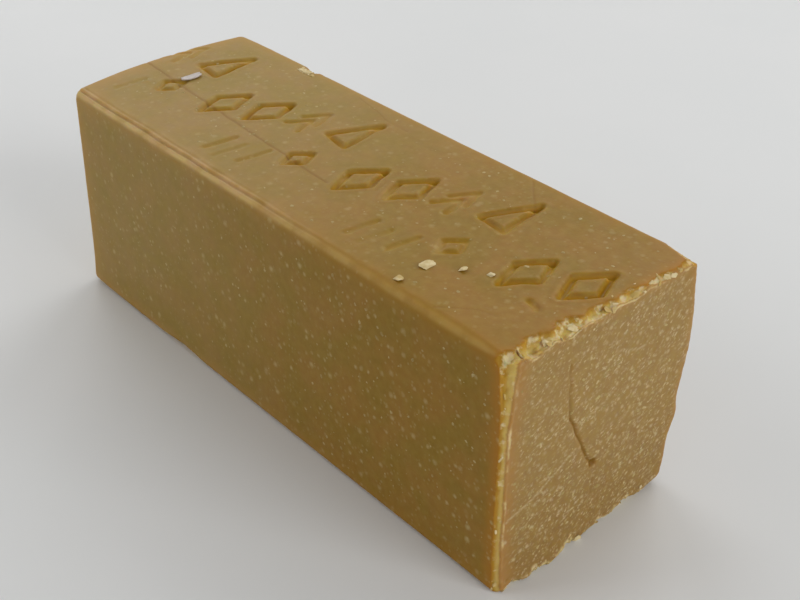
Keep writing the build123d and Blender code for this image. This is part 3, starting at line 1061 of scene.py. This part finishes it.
CAMERA_AIM = (3.93, 2.90, 8.64)
CAMERA_DISTANCE = 0.1213        # metres
CAMERA_AZIMUTH = 48.13          # degrees, as are the next two
CAMERA_ELEVATION = 33.92
CAMERA_ROLL = 0.63
CAMERA_LENS = 58.7
CAMERA_SENSOR = 36


def area_light(name, place, size, power):
    """A square soft light that faces the origin."""
    lamp = bpy.data.lights.new(name, "AREA")
    lamp.size = size
    lamp.energy = power
    light = bpy.data.objects.new(name, lamp)
    light.location = place
    light.rotation_mode = "QUATERNION"
    light.rotation_quaternion = (-Vector(place)).to_track_quat("-Z", "Y")
    bpy.context.collection.objects.link(light)


def camera():
    """The scene's camera, looking down at the near side and the cut end."""
    azimuth = math.radians(CAMERA_AZIMUTH)
    elevation = math.radians(CAMERA_ELEVATION)
    aim = Vector(CAMERA_AIM) * MM
    back = Vector((
        math.sin(azimuth) * math.cos(elevation),
        -math.cos(azimuth) * math.cos(elevation),
        math.sin(elevation)))
    data = bpy.data.cameras.new("camera")
    data.sensor_width = CAMERA_SENSOR
    data.lens = CAMERA_LENS
    data.clip_start = 0.001
    view = bpy.data.objects.new("camera", data)
    view.rotation_mode = "QUATERNION"
    view.location = aim + back * CAMERA_DISTANCE
    roll = Quaternion((0, 0, 1), math.radians(CAMERA_ROLL))
    view.rotation_quaternion = (-back).to_track_quat("-Z", "Y") @ roll
    bpy.context.collection.objects.link(view)
    bpy.context.scene.camera = view


def stage():
    """A plain pale floor."""
    signs = [(-1, -1), (1, -1), (1, 1), (-1, 1)]
    corners = [(x * FLOOR_REACH, y * FLOOR_REACH, 0) for x, y in signs]
    floor = make_mesh("floor", corners, [(0, 1, 2, 3)])
    mat = Material("table")
    tone = mat.steps(mat.noise(25, 3), 0.2, 0.8)
    mat.set(Base_Color=mat.blend(tone, *FLOOR_TONES), Roughness=0.6)
    floor.data.materials.append(mat.material)


def lights():
    """The soft lights and an even light from all round."""
    world = bpy.data.worlds.new("room")
    world.use_nodes = True
    background = world.node_tree.nodes["Background"]
    background.inputs["Color"].default_value = (1, 1, 1, 1)
    background.inputs["Strength"].default_value = ROOM_LIGHT
    bpy.context.scene.world = world
    for name, place, size, power in LIGHTS:
        area_light(name, place, size, power)


bar = make_bar()
SURFACE = BVHTree.FromObject(bar, bpy.context.evaluated_depsgraph_get())
finished(bar, "rosin", rosin(), "rosin_bar")

grain_look = crumb_material("pale_grain", (0.36, 0.250, 0.075), (0.50, 0.38, 0.155), 0.3)
streak = (0, math.cos(math.radians(STREAK_LEAN)), math.sin(math.radians(STREAK_LEAN)))
# Each row: CAD node, face, how many finer grains, seed, direction of the grains' long side
for node, face, count, seed, along in [
    ("top_grains", "top", 240, 101, None),
    ("near_side_grains", "near", 340, 102, None),
    ("far_side_grains", "far", 340, 103, None),
    ("cut_end_grains", "cut", 260, 104, streak),
    ("moulded_end_grains", "rear", 130, 105, None),
]:
    finished(set_grains(node, face, count, seed, along), "pale_grain", grain_look, node)

flake_look = crumb_material("pale_flake", (0.54, 0.37, 0.11), (0.78, 0.65, 0.37), 0.5)
for number, row in enumerate(flake_rows()):
    finished(set_flakes(*row, seed=201 + number), "rosin_flake", flake_look, row[0])
finished(loose_chips(), "rosin_flake", flake_look, "loose_chips")
pale_strip_look = crumb_material("shaving", (0.60, 0.54, 0.50), (0.80, 0.76, 0.78), 0.4)
finished(loose_sliver(), "shaving", pale_strip_look, "loose_sliver")

stage()
lights()
camera()
bpy.context.scene.view_settings.view_transform = "Standard"
